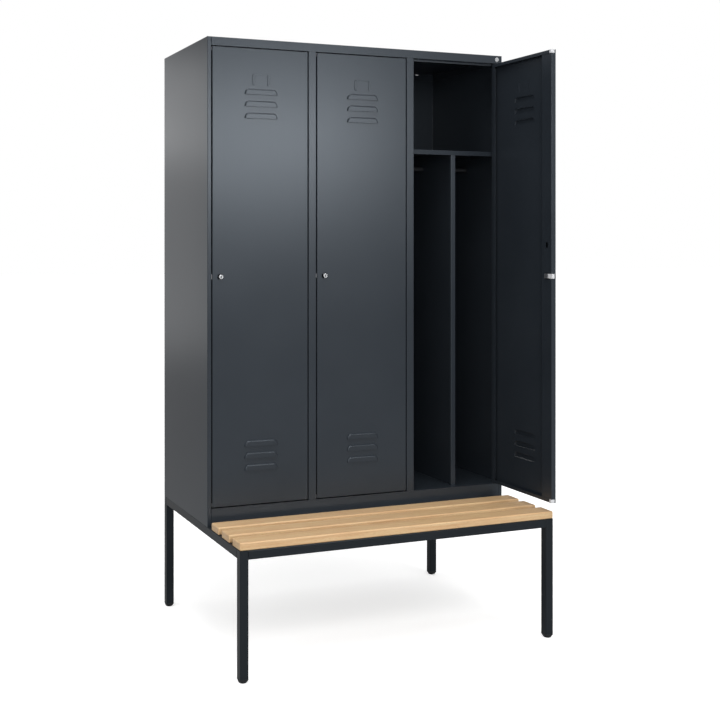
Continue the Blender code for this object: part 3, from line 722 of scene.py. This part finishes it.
print("locks")
lockPieces = (
    # model, name, finish, slot, body, and the node that it replaces
    (buildHead(), "head", chromePlate, "chrome", "door", None),
    # the surround's near-black and the black block in the keyway are painted shade
    (buildSurround(), "surround", shadeBlack, "black_plastic", "door", None),
    (keywayBlock("keyway", -rosette["keyPlay"], rosette["keyDrop"]), "keyway", shadeBlack,
     "black_plastic", "lock", None),
    (buildCore(), "core", chromePlate, "chrome", "lock", "lock_plug"),
    (buildCase(), "case", castZinc, "zinc", "door", "lock_housing"),
)
for number in doorNumbers:
    for model, name, finish, slot, body, node in lockPieces:
        piece = placed(copyOf(model, f"lock_{number}_{name}"), doorPlace(number))
        replaced = (f"{node}_{number}",) if node else ()
        dress(piece, finish, slot, f"{body}_{number}", *replaced)
for row in lockPieces:
    bpy.data.objects.remove(row[0])


# Bench slats

slats = dict(round=0.0045, segments=4)
print("slats")
for number in slatNumbers:
    low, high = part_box(f"bench_slat_{number}")
    slat = addBlock(f"slat_{number}", low, high)
    softenEdges(slat, slats["round"], slats["segments"])
    smoothByAngle(slat, 40)
    dress(slat, beechSlats[number - 1], "beech", "locker", f"bench_slat_{number}")


# Feet, coat rails and the round cap

feet = dict(
    half=0.015, height=0.014, roundHeight=0.010, inset=0.005, corner=0.0025, circle=0.97, rows=12, sides=12,
)
feet["around"] = feet["sides"] * 4


def footRow(step):
    # half width, corner radius and height of one level, from the nearly round underside to the square top
    lean = math.pi / 2 * step / feet["rows"]
    half = feet["half"] - feet["inset"] * (1 - math.sin(lean))
    widest = feet["circle"] * half
    corner = feet["corner"] + (widest - feet["corner"]) * math.sqrt(max(math.cos(lean), 0))
    return half, corner, feet["roundHeight"] * (1 - math.cos(lean))


def shapeFoot(foot):
    # every row of the grid is drawn to its own rounded square
    rows = [footRow(step) for step in range(feet["rows"] + 1)]
    rows.append((feet["half"], feet["corner"], feet["height"]))
    mesh = startEdit(foot, "VERT")
    for vert in mesh.verts:
        row, spoke = divmod(vert.index, feet["around"])
        half, corner, level = rows[row]
        quarter, step = divmod(spoke, feet["sides"])
        turn = math.pi / 2 * (quarter + step / (feet["sides"] - 1))
        signs = ((1, 1), (-1, 1), (-1, -1), (1, -1))[quarter]
        vert.co = (
            signs[0] * (half - corner) + corner * math.cos(turn),
            signs[1] * (half - corner) + corner * math.sin(turn),
            level,
        )
    bmesh.update_edit_mesh(foot.data)
    leaveEdit()


def onSeam(edge):
    return edge.is_boundary and len({vert.index % feet["around"] for vert in edge.verts}) == 1


def buildFoot():
    deselectAll()
    bpy.ops.mesh.primitive_grid_add(
        x_subdivisions=feet["around"] - 1, y_subdivisions=feet["rows"] + 1, size=feet["half"] * 2
    )
    foot = settle(bpy.context.object)
    shapeFoot(foot)
    # the seam and both ends are closed
    editEdges(foot, onSeam)
    bpy.ops.mesh.bridge_edge_loops()
    leaveEdit()
    editEdges(foot, lambda edge: edge.is_boundary)
    bpy.ops.mesh.fill_holes(sides=0)
    leaveEdit()
    repairNormals(foot)
    return smoothByAngle(foot, 50)


print("feet, rails and cap")
footModel = buildFoot()
for corner in ("front_left", "front_right", "back_left", "back_right"):
    low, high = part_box(f"foot_{corner}")
    middle = ((low[0] + high[0]) / 2, (low[1] + high[1]) / 2, 0)
    foot = placed(copyOf(footModel, f"foot_cap_{corner}"), Matrix.Translation(middle))
    dress(foot, blackPolymer, "black_plastic", "locker", f"foot_{corner}")
bpy.data.objects.remove(footModel)

coatRail = dict(radius=0.0085, flange=0.014, flangeDepth=0.002, soft=0.0004)
for number in doorNumbers:
    low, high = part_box(f"coat_rail_{number}")
    middle = [(a + b) / 2 for a, b in zip(low, high)]
    depth = coatRail["flangeDepth"]
    rail = addRound(f"rail_{number}", middle, coatRail["radius"], high[0] - low[0], "X")
    for end in (low[0] + depth / 2, high[0] - depth / 2):
        flange = addRound("flange", (end, middle[1], middle[2]), coatRail["flange"], depth, "X")
        carve(rail, flange, "UNION")
    softenEdges(rail, coatRail["soft"], 2, 50)
    smoothByAngle(rail, 35)
    # the rails take the darkened zinc, painted shade for the dim compartment
    dress(rail, railSteelShaded, "zinc", "locker", f"coat_rail_{number}")

roundCap = dict(depth=0.0016, soft=0.0005, sides=64)
low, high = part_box("rail_cap")
cap = addRound(
    "round_cap", ((low[0] + high[0]) / 2, low[1] + roundCap["depth"] / 2, (low[2] + high[2]) / 2),
    (high[0] - low[0]) / 2, roundCap["depth"], "Y", roundCap["sides"],
)
softenEdges(cap, roundCap["soft"], 3, 50)
smoothByAngle(cap, 35)
dress(cap, zincPlate, "zinc", "locker", "rail_cap")


# Studio: pale floor, soft lights, camera

studio = dict(
    floorHalf=40.0, floorSeen="#f4f4f4", floorBounce="#b4b4b4", floorGlow=0.50,
    skyUp=0.82, skyDown=0.48, skyFrom=-0.1, skyTo=0.5,
    # axis, where the change starts and ends, and what is left there: dimmer to the right and behind
    skySides=(("X", 0.4, 0.8, 0.25), ("Y", 0.3, 0.8, 0.30)),
    lights=(
        dict(name="front", place=(1.58, -5.0, 2.28), aim=(-0.2, 0.0, 1.75), size=(1.85, 0.6), power=57),
        dict(name="frontLeft", place=(-2.3, -4.6, 2.3), aim=(-0.3, 0.0, 1.7), size=(3.0, 1.4), power=40),
        dict(name="wash", place=(-2.6, 6.5, 1.4), aim=(-0.6, 0.2, 1.2), size=(1.6, 2.2), power=9.6),
        dict(name="rim", place=(-2.6, 6.5, 2.75), aim=(-0.6, 0.2, 1.8), size=(1.6, 1.0), power=8.0),
        dict(name="over", place=(-0.6, -1.0, 5.5), aim=(0.0, -0.2, 0.8), size=(3.5, 3.0), power=132),
        # the fill only lifts the shadows and leaves no reflection of its own
        dict(name="fill", place=(-1.3, -4.6, 1.3), aim=(0.3, 0.2, 1.3), size=(2.0, 2.0), power=27,
             sheen=False),
    ),
)


def addFloor():
    deselectAll()
    bpy.ops.mesh.primitive_plane_add(size=studio["floorHalf"] * 2, location=(0, 0, 0))
    floor = bpy.context.object
    floor.name = "studio_floor"
    settle(floor)
    # pale paper that throws less light back on the object than it shows
    material, shader = newMaterial("floor_paper", {
        "Roughness": 0.9, "Specular IOR Level": 0.0, "Emission Color": (1, 1, 1, 1),
    })
    seen = addNode(material, "ShaderNodeLightPath").outputs["Is Camera Ray"]
    tone = addNode(
        material, "ShaderNodeMixRGB",
        values={"Color1": hexColour(studio["floorBounce"]), "Color2": hexColour(studio["floorSeen"])},
        links={"Fac": seen},
    )
    glow = addNode(
        material, "ShaderNodeMath", settings={"operation": "MULTIPLY"},
        values={1: studio["floorGlow"]}, links={0: seen},
    )
    material.node_tree.links.new(tone.outputs["Color"], shader.inputs["Base Color"])
    material.node_tree.links.new(glow.outputs["Value"], shader.inputs["Emission Strength"])
    floor.data.materials.append(material)


def addLight(name, place, aim, size, power, sheen=True):
    light = bpy.data.lights.new(name, "AREA")
    light.shape = "RECTANGLE"
    light.size, light.size_y = size
    light.energy = power
    lamp = bpy.data.objects.new(name, light)
    lamp.location = place
    lamp.rotation_euler = (Vector(aim) - Vector(place)).to_track_quat("-Z", "Y").to_euler()
    lamp.visible_camera = False
    lamp.visible_glossy = sheen
    bpy.context.scene.collection.objects.link(lamp)


def addWorld():
    world = bpy.data.worlds.new("soft_white")
    world.use_nodes = True
    background = world.node_tree.nodes["Background"]
    background.inputs["Color"].default_value = (1, 1, 1, 1)
    # the studio is brighter above than below, and the camera sees plain white behind the object
    direction = addNode(world, "ShaderNodeTexCoord").outputs["Generated"]
    axes = addNode(world, "ShaderNodeSeparateXYZ", links={"Vector": direction})
    sky = addNode(
        world, "ShaderNodeMapRange",
        values={
            "From Min": studio["skyFrom"], "From Max": studio["skyTo"],
            "To Min": studio["skyDown"], "To Max": studio["skyUp"],
        },
        links={"Value": axes.outputs["Z"]},
    ).outputs["Result"]
    for axis, near, far, share in studio["skySides"]:
        side = addNode(
            world, "ShaderNodeMapRange",
            values={"From Min": near, "From Max": far, "To Min": 1.0, "To Max": share},
            links={"Value": axes.outputs[axis]},
        )
        sky = addNode(
            world, "ShaderNodeMath", settings={"operation": "MULTIPLY"},
            links={0: sky, 1: side.outputs["Result"]},
        ).outputs["Value"]
    seen = addNode(world, "ShaderNodeLightPath").outputs["Is Camera Ray"]
    strength = addNode(
        world, "ShaderNodeMath", settings={"operation": "MAXIMUM"}, links={0: sky, 1: seen}
    )
    world.node_tree.links.new(strength.outputs["Value"], background.inputs["Strength"])
    bpy.context.scene.world = world


print("studio")
addFloor()
for row in studio["lights"]:
    addLight(**row)
addWorld()
bpy.context.scene.view_settings.view_transform = "Standard"

photoCamera = dict(
    place=(-1.85898, -3.6045, 1.41764), turn=(90.0, 0.0, -20.02), lens=54.18,
    shiftX=0.2014, shiftY=-0.1659,
)
cameraData = bpy.data.cameras.new("photo_camera")
cameraData.sensor_width = 36
cameraData.lens = photoCamera["lens"]
cameraData.shift_x = photoCamera["shiftX"]
cameraData.shift_y = photoCamera["shiftY"]
camera = bpy.data.objects.new("photo_camera", cameraData)
camera.location = photoCamera["place"]
camera.rotation_euler = [math.radians(angle) for angle in photoCamera["turn"]]
bpy.context.scene.collection.objects.link(camera)
bpy.context.scene.camera = camera
